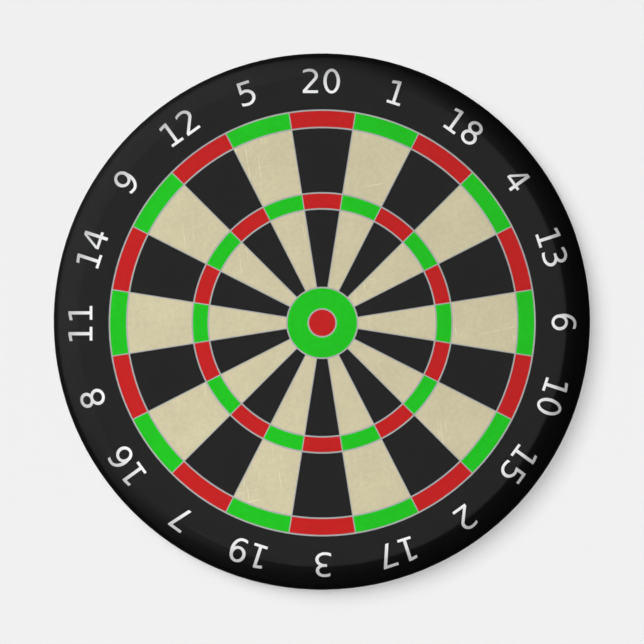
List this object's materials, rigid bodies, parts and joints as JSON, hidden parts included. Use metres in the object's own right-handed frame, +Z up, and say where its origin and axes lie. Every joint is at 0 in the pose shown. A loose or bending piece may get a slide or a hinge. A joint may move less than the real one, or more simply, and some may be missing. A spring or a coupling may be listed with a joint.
{
  "type": "magnetic dartboard",
  "caption": "Round wall-hung magnetic dartboard: printed target over a pressed steel pan with a rolled rim, a backing panel and a hinged hanging ring.",
  "frame": {"origin": "on the board's axis, in the plane of the wall that the rubber bumpers rest on", "axes": "+Z up towards the 20, -Y out of the target face, +Y into the wall, +X to the right for a player facing the board"},
  "size_m": [0.3999, 0.0201, 0.4],
  "materials": {
    "ink_black": "satin printed film",
    "ink_cream": "satin printed film, fine pale scratches",
    "ink_red": "satin printed film",
    "ink_green": "satin printed film",
    "ink_grey": "satin printed lines",
    "ink_white": "satin printed numerals",
    "shell_steel": "black lacquer inside and on the hem",
    "foam": "closed-cell foam",
    "core_board": "corrugated filler",
    "hardboard": "smooth hardboard",
    "bumper_rubber": "matt",
    "zinc_steel": "bright zinc plate",
    "rivet_aluminium": "set pop rivet"
  },
  "bodies": {
    "board": {"number_band": "ink_black", "printed_numerals": "ink_white", "printed_line_web": "ink_grey", "single_beds_black": "ink_black", "single_beds_cream": "ink_cream", "treble_ring_red": "ink_red", "treble_ring_green": "ink_green", "double_ring_red": "ink_red", "double_ring_green": "ink_green", "outer_bull_green": "ink_green", "inner_bull_red": "ink_red", "steel_shell": "shell_steel", "damping_foam": "foam", "core_board": "core_board", "back_panel": "hardboard", "wall_bumpers": "bumper_rubber", "hanger_strap": "zinc_steel", "hanger_rivets": "rivet_aluminium", "rivet_washers": "zinc_steel"},
    "ring": {"hanger_ring": "zinc_steel"}
  },
  "joints": [
    {"name": "hanger_ring_hinge", "type": "hinge", "parent": "board", "child": "ring", "pos_m": [0, -0.00268, 0.15], "axis": [-1, 0, 0], "range_deg": [0, 170]}
  ]
}
